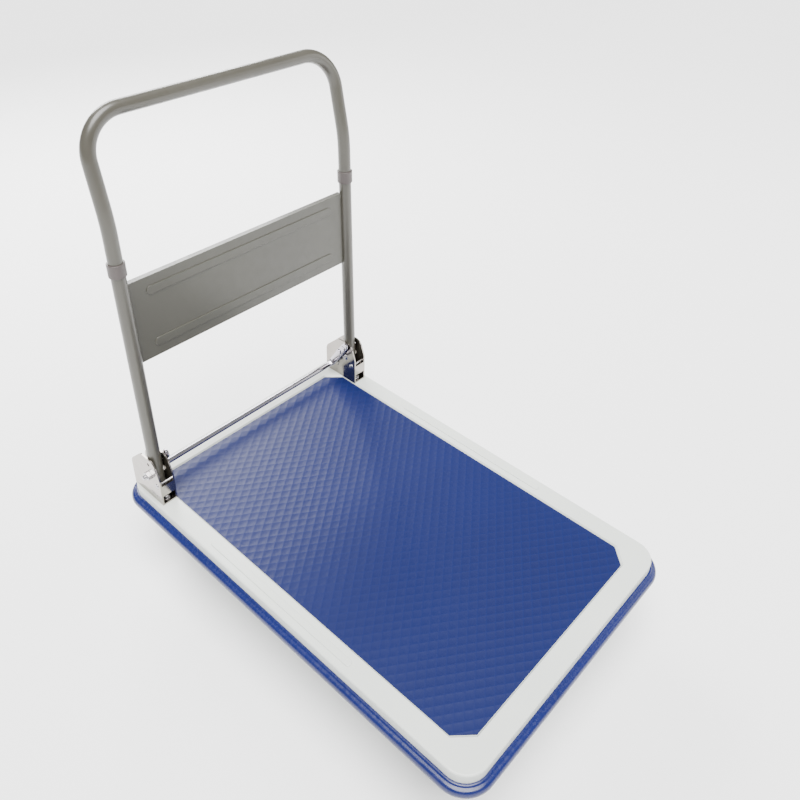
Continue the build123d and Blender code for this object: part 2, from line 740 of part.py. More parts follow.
def lock_spring():
    """A torsion spring round the lever's stud, its tail in the ear's small hole."""
    anchor_x = pivot_x - anchor_behind
    anchor_z = pivot_z - anchor_below
    reach = math.hypot(anchor_x - lever_x, anchor_z - lever_z)
    towards = math.atan2(anchor_z - lever_z, anchor_x - lever_x)
    leave = towards + math.acos(spring_coil / reach)
    coil_path = Helix(pitch=spring_pitch, height=spring_pitch * spring_turns, radius=spring_coil)
    section = Plane(origin=coil_path @ 0, z_dir=coil_path % 0) * Circle(spring_wire)
    coil = sweep(section, path=coil_path, is_frenet=True)
    # The coil starts beside the ear and winds away from it, towards the arm.
    start_y = inner_ear_in - spring_wire - spring_gap
    coil = Pos(lever_x, start_y, lever_z) * Rot(90, 0, 0) * Rot(0, 0, math.degrees(leave)) * coil
    start = (lever_x + spring_coil * math.cos(leave), start_y, lever_z + spring_coil * math.sin(leave))
    corner = (anchor_x, start_y, anchor_z)
    tail = wire(corner, start)
    return coil + tail + wire((anchor_x, inner_ear_out - 2 * spring_wire, anchor_z), corner)


# ---------------------------------------------------------------- write the pieces
os.makedirs("parts", exist_ok=True)

save("deck_plate", deck_plate())
save("deck_mat", deck_mat())
save("edge_bumper", edge_bumper())
save("rail_front", cross_rail(front_x, swivel=False))
save("rail_rear", cross_rail(rear_x, swivel=True))
save_pair("stringer", stringer())

save_pair("bracket", bracket())
bracket_bolts, bracket_nuts = bracket_fasteners()
save("bracket_bolts", bracket_bolts)
save("bracket_nuts", bracket_nuts)
save("pivot_bolts", both_sides(pivot_bolt()))
save("pivot_nuts", both_sides(pivot_nut()))
save("stop_pins", both_sides(stop_pin()))

save_pair("handle_lower_tube", lower_tube())
save("handle_upper_tube", upper_tube())
save("handle_spigots", both_sides(spigot()))
save_pair("handle_collar", collar())
save("pivot_bushes", both_sides(pivot_bush()))
save("back_panel", back_panel())

save("lock_rod", lock_rod())
save("lock_pins", both_sides(lock_pin()))
save("lock_pivot_studs", both_sides(lever_stud()))
save("lock_springs", both_sides(lock_spring()))

caster_bolts, caster_nuts = caster_fasteners()
save("caster_bolts", caster_bolts)
save("caster_nuts", caster_nuts)
save_pair("swivel_plate", swivel_plate())
save_pair("swivel_fork", swivel_fork())
save_pair("swivel_balls", swivel_balls())
save_pair("kingpin", kingpin())
save_pair("kingpin_nut", kingpin_nut())
save_pair("fixed_fork", fixed_fork())
for end, axle_x in (("rear", rear_x - swivel_trail), ("front", front_x)):
    tyre, core, bush = wheel_parts(axle_x)
    save_pair(f"{end}_tyre", tyre)
    save_pair(f"{end}_wheel_core", core)
    save_pair(f"{end}_wheel_bush", bush)
    save_pair(f"{end}_axle_bolt", axle_bolt(axle_x))
    save_pair(f"{end}_axle_nut", axle_nut(axle_x))
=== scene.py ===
# %% [markdown]
# # A folding platform cart
# The frame of this lesson is a finished engineering model: every part already has its true size
# and place. Here the parts get their looks. Pieces whose shape is right keep it and get a better
# material, and pieces that need more detail are made again in place.
# All numbers are metres. +X points to the nose, +Y to the left and +Z up.

import json
import math

import bmesh
import bpy
from mathutils import Matrix, Vector

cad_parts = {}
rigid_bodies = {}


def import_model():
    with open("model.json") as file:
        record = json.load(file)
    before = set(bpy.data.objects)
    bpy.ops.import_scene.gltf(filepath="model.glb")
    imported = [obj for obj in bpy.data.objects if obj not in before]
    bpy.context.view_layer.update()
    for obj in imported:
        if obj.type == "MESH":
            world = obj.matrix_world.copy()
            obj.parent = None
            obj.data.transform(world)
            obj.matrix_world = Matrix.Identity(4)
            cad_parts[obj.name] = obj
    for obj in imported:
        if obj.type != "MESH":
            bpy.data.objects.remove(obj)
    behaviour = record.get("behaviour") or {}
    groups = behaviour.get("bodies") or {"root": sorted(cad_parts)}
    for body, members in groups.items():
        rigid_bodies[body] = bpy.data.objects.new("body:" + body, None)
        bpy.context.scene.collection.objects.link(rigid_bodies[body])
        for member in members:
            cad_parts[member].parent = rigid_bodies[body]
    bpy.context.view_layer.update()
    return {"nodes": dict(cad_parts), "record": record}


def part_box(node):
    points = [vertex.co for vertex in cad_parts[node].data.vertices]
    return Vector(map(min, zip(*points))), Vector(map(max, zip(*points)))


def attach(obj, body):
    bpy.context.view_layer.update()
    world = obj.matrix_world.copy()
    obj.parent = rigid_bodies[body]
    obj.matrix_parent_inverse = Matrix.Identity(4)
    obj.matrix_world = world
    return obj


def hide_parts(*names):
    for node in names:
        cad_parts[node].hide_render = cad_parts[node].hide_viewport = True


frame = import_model()
nodes = frame["nodes"]


# %% [markdown]
# ## Camera
# A camera is a place, a direction and a focal length. This one looks down from above the right
# front corner. The view is a little wider than usual, so the near corner of the deck looms.
# Two directions, right and forward, fix how it is turned. Its lens is shifted, which slides the
# picture without tilting the camera.

# %% Camera
camera_place = Vector((0.7392, -0.8188, 1.4081))
right = Vector((0.7393, 0.6728, 0.0285)).normalized()
forward = Vector((-0.5529, 0.6306, -0.5446)).normalized()
down = forward.cross(right).normalized()
forward = right.cross(down).normalized()

camera_data = bpy.data.cameras.new("camera")
camera_data.sensor_width = 36.0
camera_data.lens = 36.90945
camera_data.shift_x = 0.0004125
camera_data.shift_y = -0.127175
camera_data.clip_start = 0.01
camera = bpy.data.objects.new("camera", camera_data)
turn = Matrix((right, -down, -forward)).transposed()
camera.matrix_world = Matrix.Translation(camera_place) @ turn.to_4x4()
bpy.context.scene.collection.objects.link(camera)
bpy.context.scene.camera = camera
print("lens", round(camera_data.lens, 2), "mm")


# %% [markdown]
# ## Floor and light
# A studio shot uses a pale floor and large soft lamps. An area lamp is a glowing rectangle: the
# larger it is, the softer its shadow edges. The back lamp is low and wide, because a low light
# from behind is what makes a raised pattern and a glossy sheet show. Most of the light comes from
# a sun lamp overhead. Its wide angle makes it as soft as a large ceiling light.

# %% Floor and light
def area_lamp(name, place, target, size, watts):
    data = bpy.data.lights.new(name, "AREA")
    data.shape = "RECTANGLE"
    data.size = size[0]
    data.size_y = size[1]
    data.energy = watts
    lamp = bpy.data.objects.new(name, data)
    lamp.location = place
    lamp.rotation_euler = (Vector(target) - Vector(place)).to_track_quat("-Z", "Y").to_euler()
    bpy.context.scene.collection.objects.link(lamp)
    return lamp


area_lamp("lamp_back", (-2.57, 0.77, 1.87), (-0.2, 0.0, 0.2), (1.8, 1.2), 120)
area_lamp("lamp_side", (1.6, 2.6, 1.6), (0.0, 0.0, 0.4), (2.0, 1.6), 30)

overhead_data = bpy.data.lights.new("overhead", "SUN")
overhead_data.energy = 9.5
overhead_data.angle = math.radians(50)
overhead = bpy.data.objects.new("overhead", overhead_data)
overhead.rotation_euler = Vector((-0.22, 0.20, -1.0)).to_track_quat("-Z", "Y").to_euler()
bpy.context.scene.collection.objects.link(overhead)

world = bpy.data.worlds.new("studio")
world.use_nodes = True
world.node_tree.nodes["Background"].inputs["Color"].default_value = (1.0, 1.0, 1.0, 1.0)
world.node_tree.nodes["Background"].inputs["Strength"].default_value = 0.5
bpy.context.scene.world = world

floor_mesh = bpy.data.meshes.new("floor")
far = 12.0
corners = [(-far, -far, 0), (far, -far, 0), (far, far, 0), (-far, far, 0)]
floor_mesh.from_pydata(corners, [], [(0, 1, 2, 3)])
floor = bpy.data.objects.new("floor", floor_mesh)
bpy.context.scene.collection.objects.link(floor)


# %% [markdown]
# ## A small kit for materials
# Every finish here is a node tree made in code. It starts from one Principled shader, whose fixed
# values are set on the shader itself, and then noise drives what changes over the surface: a
# little colour, a little roughness and a fine bump. Object coordinates are in metres, so a noise
# scale of 400 gives grains of about 2.5 mm.

# %% Material kit
class Finish:
    """One material, with helpers that hang noise on its shader."""

    def __init__(self, name, colour, roughness, metallic=0.0, **values):
        self.material = bpy.data.materials.new(name)
        self.material.use_nodes = True
        self.tree = self.material.node_tree
        self.shader = self.tree.nodes["Principled BSDF"]
        self.shader.inputs["Base Color"].default_value = (*colour, 1.0)
        self.shader.inputs["Roughness"].default_value = roughness
        self.shader.inputs["Metallic"].default_value = metallic
        for socket, value in values.items():
            self.shader.inputs[socket.replace("_", " ")].default_value = value
        self.coordinates = self.add("ShaderNodeTexCoord").outputs["Object"]

    def add(self, kind, **inputs):
        node = self.tree.nodes.new(kind)
        for name, value in inputs.items():
            socket = node.inputs[name.replace("_", " ")]
            if isinstance(value, bpy.types.NodeSocket):
                self.tree.links.new(value, socket)
            else:
                socket.default_value = value
        return node

    def noise(self, scale, detail=3.0, stretch=(1.0, 1.0, 1.0)):
        place = self.add("ShaderNodeMapping", Vector=self.coordinates, Scale=stretch)
        grain = self.add("ShaderNodeTexNoise", Vector=place.outputs["Vector"], Scale=scale, Detail=detail)
        return grain.outputs["Fac"]

    def ranged(self, source, low, high, start=0.3, stop=0.7):
        node = self.tree.nodes.new("ShaderNodeMapRange")
        self.tree.links.new(source, node.inputs["Value"])
        for name, value in zip(("From Min", "From Max", "To Min", "To Max"), (start, stop, low, high)):
            node.inputs[name].default_value = value
        return node.outputs["Result"]

    def tint(self, source, first, second, start=0.3, stop=0.7):
        mix = self.tree.nodes.new("ShaderNodeMix")
        mix.data_type = "RGBA"
        self.tree.links.new(self.ranged(source, 0.0, 1.0, start, stop), mix.inputs[0])
        for index, colour in ((6, first), (7, second)):
            if isinstance(colour, bpy.types.NodeSocket):
                self.tree.links.new(colour, mix.inputs[index])
            else:
                mix.inputs[index].default_value = (*colour, 1.0)
        self.tree.links.new(mix.outputs[2], self.shader.inputs["Base Color"])
        return mix.outputs[2]

    def roughen(self, source, low, high, start=0.3, stop=0.7):
        self.tree.links.new(self.ranged(source, low, high, start, stop), self.shader.inputs["Roughness"])

    def bump(self, source, strength, distance):
        node = self.add("ShaderNodeBump", Height=source, Strength=strength, Distance=distance)
        before = self.shader.inputs["Normal"].links
        if before:
            self.tree.links.new(before[0].from_socket, node.inputs["Normal"])
        self.tree.links.new(node.outputs["Normal"], self.shader.inputs["Normal"])


def paint(name, light, dark, roughness, peel=0.12):
    """Powder coat: baked powder flows out almost flat, but keeps a fine ripple like orange peel."""
    finish = Finish(name, light, roughness, Coat_Weight=0.25, Coat_Roughness=0.18)
    finish.tint(finish.noise(5.0, 4.0), dark, light)
    finish.roughen(finish.noise(60.0, 4.0), roughness - 0.05, roughness + 0.07)
    finish.bump(finish.noise(420.0, 2.0), peel, 0.0004)
    finish.bump(finish.noise(2600.0, 1.0), peel * 0.5, 0.0001)
    return finish.material


def rubber(name, light, dark, roughness, pores=0.25):
    finish = Finish(name, light, roughness)
    finish.tint(finish.noise(9.0, 5.0), dark, light)
    finish.roughen(finish.noise(120.0, 3.0), roughness - 0.07, roughness + 0.08)
    finish.bump(finish.noise(1500.0, 2.0), pores, 0.0002)
    return finish.material


def metal(name, light, dark, roughness, drawn=(1.0, 1.0, 1.0), depth=0.05, spots=40.0):
    """Plated or drawn metal. The stretch turns round grains into drawing or rolling lines."""
    finish = Finish(name, light, roughness, metallic=1.0)
    finish.tint(finish.noise(spots, 4.0), dark, light)
    finish.roughen(finish.noise(90.0, 4.0, drawn), roughness * 0.7, roughness * 1.5)
    finish.bump(finish.noise(700.0, 2.0, drawn), depth, 0.0001)
    return finish.material


# %% [markdown]
# ## The finishes
# The deck wears smooth off-white powder coat, the handle a warm light grey and the panel a slightly
# greener grey. The bumper is satin blue rubber. Brackets are bright plated, the foot bar is
# chromed, and bolts and casters are zinc plated, which is greyer and a little mottled.

# %% The finishes
deck_paint = paint("deck_paint", (0.64, 0.67, 0.63), (0.60, 0.63, 0.592), 0.36)
handle_paint = paint("handle_paint", (0.062, 0.058, 0.045), (0.055, 0.051, 0.040), 0.34)
panel_paint = paint("panel_paint", (0.055, 0.053, 0.040), (0.049, 0.047, 0.036), 0.42)
collar_plastic = paint("collar_plastic", (0.064, 0.051, 0.048), (0.056, 0.045, 0.042), 0.5, 0.2)
bumper_rubber = rubber("bumper_rubber", (0.0042, 0.0095, 0.085), (0.0036, 0.008, 0.070), 0.26, 0.08)
tyre_rubber = rubber("tyre_rubber", (0.050, 0.050, 0.052), (0.036, 0.036, 0.038), 0.62, 0.5)
wheel_plastic = rubber("wheel_plastic", (0.055, 0.058, 0.064), (0.042, 0.044, 0.050), 0.42, 0.3)
bush_plastic = rubber("bush_plastic", (0.74, 0.72, 0.66), (0.66, 0.64, 0.58), 0.40, 0.15)
bright_plate = metal("bright_plate", (0.38, 0.35, 0.32), (0.32, 0.295, 0.27), 0.13)
chrome_bar = metal("chrome_bar", (0.52, 0.50, 0.54), (0.45, 0.43, 0.47), 0.10, (1.0, 0.04, 1.0), 0.01)
spring_steel = metal("spring_steel", (0.30, 0.31, 0.32), (0.22, 0.22, 0.23), 0.30)
plain_steel = metal("plain_steel", (0.50, 0.51, 0.53), (0.42, 0.43, 0.45), 0.34, (1.0, 1.0, 0.05), 0.1)
zinc_plate = metal("zinc_plate", (0.62, 0.63, 0.65), (0.50, 0.51, 0.54), 0.26, spots=150.0)
zinc_fasteners = metal("zinc_fasteners", (0.54, 0.53, 0.54), (0.42, 0.41, 0.43), 0.22, spots=220.0)

floor_paint = Finish("floor_paint", (0.93, 0.93, 0.93), 0.8)
floor_paint.tint(floor_paint.noise(1.5, 3.0), (0.925, 0.925, 0.925), (0.935, 0.935, 0.935))
floor.data.materials.append(floor_paint.material)
print(len(bpy.data.materials), "materials")


# %% [markdown]
# ## Kept parts get their finish
# A part whose engineering shape is already right only needs a material. The record names a
# material slot for each part, so one table does it for all of them.

# %% Finish the kept parts
finishes = {
    "deck_paint": deck_paint, "handle_paint": handle_paint, "panel_paint": panel_paint,
    "collar_plastic": collar_plastic, "bumper_rubber": bumper_rubber, "tyre_rubber": tyre_rubber,
    "wheel_plastic": wheel_plastic, "bush_plastic": bush_plastic, "bright_plate": bright_plate,
    "chrome_bar": chrome_bar, "spring_steel": spring_steel, "plain_steel": plain_steel,
    "zinc_plate": zinc_plate, "zinc_fasteners": zinc_fasteners,
}
for part in frame["record"]["subparts"]:
    node = nodes[part["node"]]
    material = finishes.get(part["material_slot"])
    if material:
        node.data.materials.clear()
        node.data.materials.append(material)
print("finished", len(nodes), "parts")


# %% [markdown]
# ## A skin over rings
# Many pieces are a row of rings joined by faces: a bar is a row of circles, a bolt head a few
# hexagons, and a wheel a ring whose section runs round. One helper makes them all. It merges
# doubled points and recalculates normals, so that every face looks outwards.

# %% Skin helper
def skin(name, rings, loop=False, caps=True):
    """Quads between rings of equal length. loop joins the last ring to the first."""
    mesh = bmesh.new()
    grid = [[mesh.verts.new(p) for p in ring] for ring in rings]
    count = len(rings[0])
    last = len(grid) if loop else len(grid) - 1
    for i in range(last):
        near, far = grid[i], grid[(i + 1) % len(grid)]
        for j in range(count):
            k = (j + 1) % count
            mesh.faces.new((near[j], near[k], far[k], far[j]))
    if caps and not loop:
        mesh.faces.new(grid[0])
        mesh.faces.new(list(reversed(grid[-1])))
    bmesh.ops.remove_doubles(mesh, verts=mesh.verts, dist=1e-7)
    bmesh.ops.recalc_face_normals(mesh, faces=mesh.faces)
    data = bpy.data.meshes.new(name)
    mesh.to_mesh(data)
    mesh.free()
    return data


def piece(name, data, material, body, slot, *replaced, smooth=35.0):
    """Links a mesh, gives it its finish and makes it ride on its body."""
    thing = bpy.data.objects.new(name, data)
    bpy.context.scene.collection.objects.link(thing)
    data.materials.clear()
    data.materials.append(material)
    data.shade_smooth()
    data.set_sharp_from_angle(angle=math.radians(smooth))
    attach(thing, body)
    if replaced:
        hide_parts(*replaced)
    print(name, "has", len(data.polygons), "faces")
    return thing


# %% [markdown]
# ## The mat
# The real mat is a rubber sheet, pressed with crossing ribs that stand up as a net of diamonds.
# It could be a bump in the material, but then the ribs would vanish where they meet the light
# at a low angle. So Geometry Nodes make the relief: a square grid is spread over the two
# rib directions, and each point rises by its distance from the nearest rib.
# A stored attribute says how high a point is, so the material can paint the rib tops paler, a
# painted highlight that leaves the hollows darker as painted shade, and make them glossier, where
# soles and boxes have rubbed them.
#
# A tree of Geometry Nodes is long when every node is made and linked by hand. The helper adds a
# node and links its inputs in one call, and runs the tree on a mesh.

# %% A helper for geometry node trees
class Tree:
    """A Geometry Nodes tree with named inputs."""

    def __init__(self, name, inputs):
        self.tree = bpy.data.node_groups.new(name, "GeometryNodeTree")
        self.ids = {}
        self.tree.interface.new_socket("Geometry", in_out="INPUT", socket_type="NodeSocketGeometry")
        for label, kind in inputs.items():
            socket = self.tree.interface.new_socket(label, in_out="INPUT", socket_type=kind)
            self.ids[label] = socket.identifier
        self.tree.interface.new_socket("Geometry", in_out="OUTPUT", socket_type="NodeSocketGeometry")
        self.given = self.tree.nodes.new("NodeGroupInput").outputs
        self.result = self.tree.nodes.new("NodeGroupOutput").inputs

    def add(self, kind, settings=None, **inputs):
        node = self.tree.nodes.new(kind)
        for name, value in (settings or {}).items():
            setattr(node, name, value)
        for name, value in inputs.items():
            key = int(name[1:]) if name[1:].isdigit() else name.replace("_", " ")
            if isinstance(value, bpy.types.NodeSocket):
                self.tree.links.new(value, node.inputs[key])
            else:
                node.inputs[key].default_value = value
        return node

    def math(self, operation, a, b=0.0, c=0.0):
        return self.add("ShaderNodeMath", {"operation": operation}, i0=a, i1=b, i2=c).outputs[0]

    def run(self, start, name, **values):
        """Evaluates the tree on a mesh and returns the result as a plain mesh."""
        holder = bpy.data.objects.new(name, start)
        bpy.context.scene.collection.objects.link(holder)
        modifier = holder.modifiers.new("nodes", "NODES")
        modifier.node_group = self.tree
        for label, value in values.items():
            modifier[self.ids[label]] = value
        ready = holder.evaluated_get(bpy.context.evaluated_depsgraph_get())
        data = bpy.data.meshes.new_from_object(ready)
        holder.modifiers.remove(modifier)
        bpy.data.objects.remove(holder)
        data.name = name
        return data


# %% [markdown]
# ## The rib net
# The ribs cross at an angle, so the grid's two directions are added and subtracted to give the
# place of each point. Points crowd towards the ribs, where the surface bends, and are sparse in
# between, where it is flat. That keeps the slopes smooth with few faces.

# %% The rib net as a tree
def rib_net_tree():
    """Inputs: pitches along X and Y, rib height, half length and half width of the sheet."""
    kinds = {"pitch_x": "NodeSocketFloat", "pitch_y": "NodeSocketFloat", "rib_height": "NodeSocketFloat",
             "half_length": "NodeSocketFloat", "half_width": "NodeSocketFloat", "floor_z": "NodeSocketFloat",
             "finish": "NodeSocketMaterial"}
    net = Tree("rib_net", kinds)
    cells = 60
    steps = 6
    grid = net.add("GeometryNodeMeshGrid", Size_X=float(cells), Size_Y=float(cells),
                   Vertices_X=cells * steps + 1, Vertices_Y=cells * steps + 1)
    place = net.add("ShaderNodeSeparateXYZ", Vector=net.add("GeometryNodeInputPosition").outputs[0])
    moved = []
    heights = []
    for axis in (0, 1):
        value = place.outputs[axis]
        whole = net.math("ROUND", value)
        offset = net.math("SUBTRACT", value, whole)
        away = net.math("ABSOLUTE", offset)
        # Points crowd towards the rib: distances 0, 1/6, 1/3 and 1/2 become 0, 0.06, 0.15 and 0.5.
        curve = net.add("ShaderNodeFloatCurve", Value=net.math("MULTIPLY", away, 2.0))
        points = curve.mapping.curves[0].points
        points[0].location = (0.0, 0.0)
        points[1].location = (1.0, 1.0)
        points.new(1 / 3, 0.12)
        points.new(2 / 3, 0.30)
        for point in points:
            point.handle_type = "VECTOR"
        curve.mapping.update()
        near = net.math("MULTIPLY", curve.outputs[0], 0.5)
        moved.append(net.math("ADD", whole, net.math("MULTIPLY", net.math("SIGN", offset), near)))
        slope = net.add("ShaderNodeMapRange", {"interpolation_type": "SMOOTHSTEP"})
        net.tree.links.new(near, slope.inputs["Value"])
        for label, number in (("From Min", 0.15), ("From Max", 0.035), ("To Min", 0.0), ("To Max", 1.0)):
            slope.inputs[label].default_value = number
        heights.append(slope.outputs["Result"])
    half_x = net.math("MULTIPLY", net.given["pitch_x"], 0.5)
    half_y = net.math("MULTIPLY", net.given["pitch_y"], 0.5)
    along = net.math("MULTIPLY", net.math("ADD", *moved), half_x)
    across = net.math("MULTIPLY", net.math("SUBTRACT", *moved), half_y)
    top = net.math("MAXIMUM", *heights)
    knot = net.math("MULTIPLY", *heights)
    rise = net.math("ADD", net.math("MULTIPLY", top, 0.78), net.math("MULTIPLY", knot, 0.22))
    height = net.math("ADD", net.given["floor_z"], net.math("MULTIPLY", rise, net.given["rib_height"]))
    stored = net.add("GeometryNodeStoreNamedAttribute", {"data_type": "FLOAT", "domain": "POINT"},
                     Geometry=grid.outputs["Mesh"], Name="rib", Value=rise)
    where = net.add("ShaderNodeCombineXYZ", X=along, Y=across, Z=height).outputs[0]
    spread = net.add("GeometryNodeSetPosition", Geometry=stored.outputs[0], Position=where)
    # Cells that lie wholly outside the sheet are dropped before the trim.
    seen = net.add("ShaderNodeSeparateXYZ", Vector=net.add("GeometryNodeInputPosition").outputs[0])
    far_x = net.math("GREATER_THAN", net.math("ABSOLUTE", seen.outputs[0]),
                     net.math("ADD", net.given["half_length"], net.given["pitch_x"]))
    far_y = net.math("GREATER_THAN", net.math("ABSOLUTE", seen.outputs[1]),
                     net.math("ADD", net.given["half_width"], net.given["pitch_y"]))
    kept = net.add("GeometryNodeDeleteGeometry", {"domain": "POINT"}, Geometry=spread.outputs[0],
                   Selection=net.math("MAXIMUM", far_x, far_y))
    real = net.add("GeometryNodeRealizeInstances", Geometry=kept.outputs[0])
    done = net.add("GeometryNodeSetMaterial", Geometry=real.outputs[0], Material=net.given["finish"])
    net.tree.links.new(done.outputs[0], net.result["Geometry"])
    return net


# %% [markdown]
# ## The mat's rubber
# Dark blue rubber with a little gloss. Two noises give the fine grain of the mould and the slow
# unevenness of a pressed sheet. The height attribute changes gloss on the ribs and paints their
# tops paler: a painted highlight, with painted shade in the hollows.

# %% Rubber of the mat
mat_finish = Finish("mat_rubber", (0.0022, 0.0066, 0.060), 0.38, Specular_IOR_Level=0.32)
rib_wear_and_sheen = mat_finish.add("ShaderNodeAttribute")
rib_wear_and_sheen.attribute_name = "rib"
base = mat_finish.tint(mat_finish.noise(4.0, 5.0), (0.0020, 0.0060, 0.055), (0.0025, 0.0073, 0.065))
# Paler rib tops are a painted highlight, and the darker hollows between them are painted shade.
mat_finish.tint(rib_wear_and_sheen.outputs["Fac"], base, (0.0027, 0.0077, 0.067), 0.35, 1.0)
mat_finish.roughen(rib_wear_and_sheen.outputs["Fac"], 0.42, 0.40, 0.2, 1.0)
mat_finish.bump(mat_finish.noise(1300.0, 2.0), 0.35, 0.00015)
mat_finish.bump(mat_finish.noise(240.0, 3.0), 0.12, 0.0004)
mat_rubber = mat_finish.material


# %% [markdown]
# ## The mat's outline
# The net is wider than the mat. Eight straight cuts trim it to a rectangle with cut corners, as a
# knife would, and then its rim is pulled down to the deck and closed below, so it has thickness.

# %% Make the mat
low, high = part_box("deck_mat")
half_length = (high.x - low.x) / 2
half_width = (high.y - low.y) / 2
chamfer = 0.030
rib_height = 0.00024
net_shift = (-0.0046, -0.0009, 0.0)
net = rib_net_tree()
sheet = net.run(bpy.data.meshes.new("mat_start"), "mat_sheet", pitch_x=0.0196, pitch_y=0.0266,
                rib_height=rib_height, half_length=half_length + 0.006, half_width=half_width,
                floor_z=high.z - rib_height, finish=mat_rubber)
print("net has", len(sheet.polygons), "faces")

trim = bmesh.new()
trim.from_mesh(sheet)
bmesh.ops.translate(trim, verts=trim.verts, vec=net_shift)
cuts = [((half_length, 0), (1, 0)), ((-half_length, 0), (-1, 0)),
        ((0, half_width), (0, 1)), ((0, -half_width), (0, -1))]
for sx in (1, -1):
    for sy in (1, -1):
        cuts.append(((sx * (half_length - chamfer), sy * half_width), (sx, sy)))
for (x, y), (nx, ny) in cuts:
    geometry = trim.verts[:] + trim.edges[:] + trim.faces[:]
    bmesh.ops.bisect_plane(trim, geom=geometry, plane_co=(x, y, 0), plane_no=(nx, ny, 0), clear_outer=True)
rim = [e for e in trim.edges if e.is_boundary]
skirt = bmesh.ops.extrude_edge_only(trim, edges=rim)["geom"]
for vertex in [g for g in skirt if isinstance(g, bmesh.types.BMVert)]:
    vertex.co.z = low.z
bottom = [e for e in trim.edges if e.is_boundary]
bmesh.ops.contextual_create(trim, geom=bottom)
bmesh.ops.recalc_face_normals(trim, faces=trim.faces)
trim.to_mesh(sheet)
trim.free()
piece("mat", sheet, mat_rubber, "deck", "mat_rubber", "deck_mat", smooth=60.0)


# %% [markdown]
# ## The edge bumper
# The bumper is one extruded rubber profile, bent round the deck and joined at the rear. Its face is
# not plain: a thin lip grips the steel at the top, then comes a shallow groove and the round
# nose. Drawing the profile once and carrying it round a rounded rectangle gives exactly that.

# %% Make the bumper
low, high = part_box("edge_bumper")
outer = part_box("deck_plate")[1]
proud = high.x - outer.x
corner = 0.042
bottom_z, top_z = low.z, high.z
# Distances out from the steel and down from the top edge, in millimetres. They are then scaled
# to the real reach and height of the bumper.
drawn_proud, drawn_height = 14.0, 24.0
profile = [(0.0, 0.0), (2.2, 0.0), (3.4, 0.3), (4.3, 1.1), (4.9, 2.1), (5.9, 2.7), (7.4, 2.9), (9.4, 3.6),
           (11.3, 5.0), (12.8, 7.2), (13.7, 10.0), (14.0, 12.6), (13.7, 15.4), (12.7, 18.0), (11.0, 20.2),
           (8.8, 21.8), (6.2, 22.9), (3.4, 23.6), (0.0, 24.0)]
rings = []
steps = 14
for sx, sy, begin in ((1, 1, 0), (-1, 1, 90), (-1, -1, 180), (1, -1, 270)):
    for i in range(steps + 1):
        angle = math.radians(begin + 90 * i / steps)
        out = Vector((math.cos(angle), math.sin(angle)))
        centre = Vector((sx * (outer.x - corner), sy * (outer.y - corner)))
        ring = []
        for away, fall in profile:
            spot = centre + out * (corner + away / drawn_proud * proud)
            ring.append((spot.x, spot.y, top_z - fall / drawn_height * (top_z - bottom_z)))
        rings.append(ring)
piece("bumper", skin("bumper", rings, loop=True), bumper_rubber, "deck", "bumper_rubber",
      "edge_bumper", smooth=50.0)


# %% [markdown]
# ## The foot bar
# One chromed rod: round along its length, then bent up inside each bracket, where the press has
# flattened it into a strip for the two rivets. The section therefore changes from a circle to
# a rounded oblong on the way round the bend. A superellipse does both: its exponent says
# how square it is.

# %% Make the foot bar
bar_radius = 0.006
bend = 0.0125
strip_half_width = 0.009
strip_half_thick = 0.00225
bar_low, bar_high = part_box("lock_rod")
pin_low, pin_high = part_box("lock_pins")
bar_x = bar_low.x + strip_half_width
bar_z = bar_low.z + strip_half_width
pin_x = (pin_low.x + pin_high.x) / 2
pin_z = (pin_low.z + pin_high.z) / 2
arm = Vector((pin_x - bar_x, 0, pin_z - bar_z))
arm_reach = arm.length + 0.0083
arm.normalize()
arm_y = bar_high.y - strip_half_thick
side = Vector((-arm.z, 0, arm.x))


def bar_ring(place, ahead, thick, wide, power):
    """A superellipse across the direction ahead: thick along the bend's inside, wide along side."""
    across = side.cross(ahead).normalized()
    ring = []
    for j in range(32):
        a = 2 * math.pi * j / 32
        c, s = math.cos(a), math.sin(a)
        u = math.copysign(abs(c) ** (2 / power), c) * thick
        v = math.copysign(abs(s) ** (2 / power), s) * wide
        ring.append(place + across * u + side * v)
    return ring


half = []
start = Vector((bar_x, 0, bar_z))
for y in (0.0, 0.06, 0.12, 0.18, 0.215, arm_y - bend):
    half.append(bar_ring(start + Vector((0, y, 0)), Vector((0, 1, 0)), bar_radius, bar_radius, 2.0))
middle = start + Vector((0, arm_y - bend, 0)) + arm * bend
for i in range(1, 13):
    t = i / 12
    a = t * math.pi / 2
    place = middle - arm * bend * math.cos(a) + Vector((0, bend * math.sin(a), 0))
    ahead = Vector((0, math.cos(a), 0)) + arm * math.sin(a)
    ease = t * t * (3 - 2 * t)
    thick = bar_radius + (strip_half_thick - bar_radius) * ease
    wide = bar_radius + (strip_half_width - bar_radius) * ease
    half.append(bar_ring(place, ahead, thick, wide, 2.0 + 2.5 * ease))
for s in (0.030, 0.055, arm_reach):
    place = start + Vector((0, arm_y, 0)) + arm * s
    half.append(bar_ring(place, arm, strip_half_thick, strip_half_width, 4.5))
for i in range(1, 9):
    a = math.radians(88) * i / 8
    place = start + Vector((0, arm_y, 0)) + arm * (arm_reach + strip_half_width * math.sin(a))
    half.append(bar_ring(place, arm, strip_half_thick, max(strip_half_width * math.cos(a), 0.0004), 4.5))
other = [[Vector((p.x, -p.y, p.z)) for p in ring] for ring in reversed(half[1:])]
piece("foot_bar", skin("foot_bar", other + half), chrome_bar, "foot_bar", "chrome_bar",
      "lock_rod", smooth=40.0)


# %% [markdown]
# ## Bolts and nuts
# A hexagon head is not a plain prism. Its top is turned to a cone, and where the cone meets the
# flats it leaves curved edges. Points at 10 degree steps round the head, each as far out as the
# hexagon allows, show those curves. The thread is a real helix: the radius of each point
# depends on its height and its angle together.

# %% Prototype shapes
def circle(radius, z, count=36):
    """A ring of points round the z axis."""
    turns = [2 * math.pi * j / count for j in range(count)]
    return [Vector((radius * math.cos(a), radius * math.sin(a), z)) for a in turns]


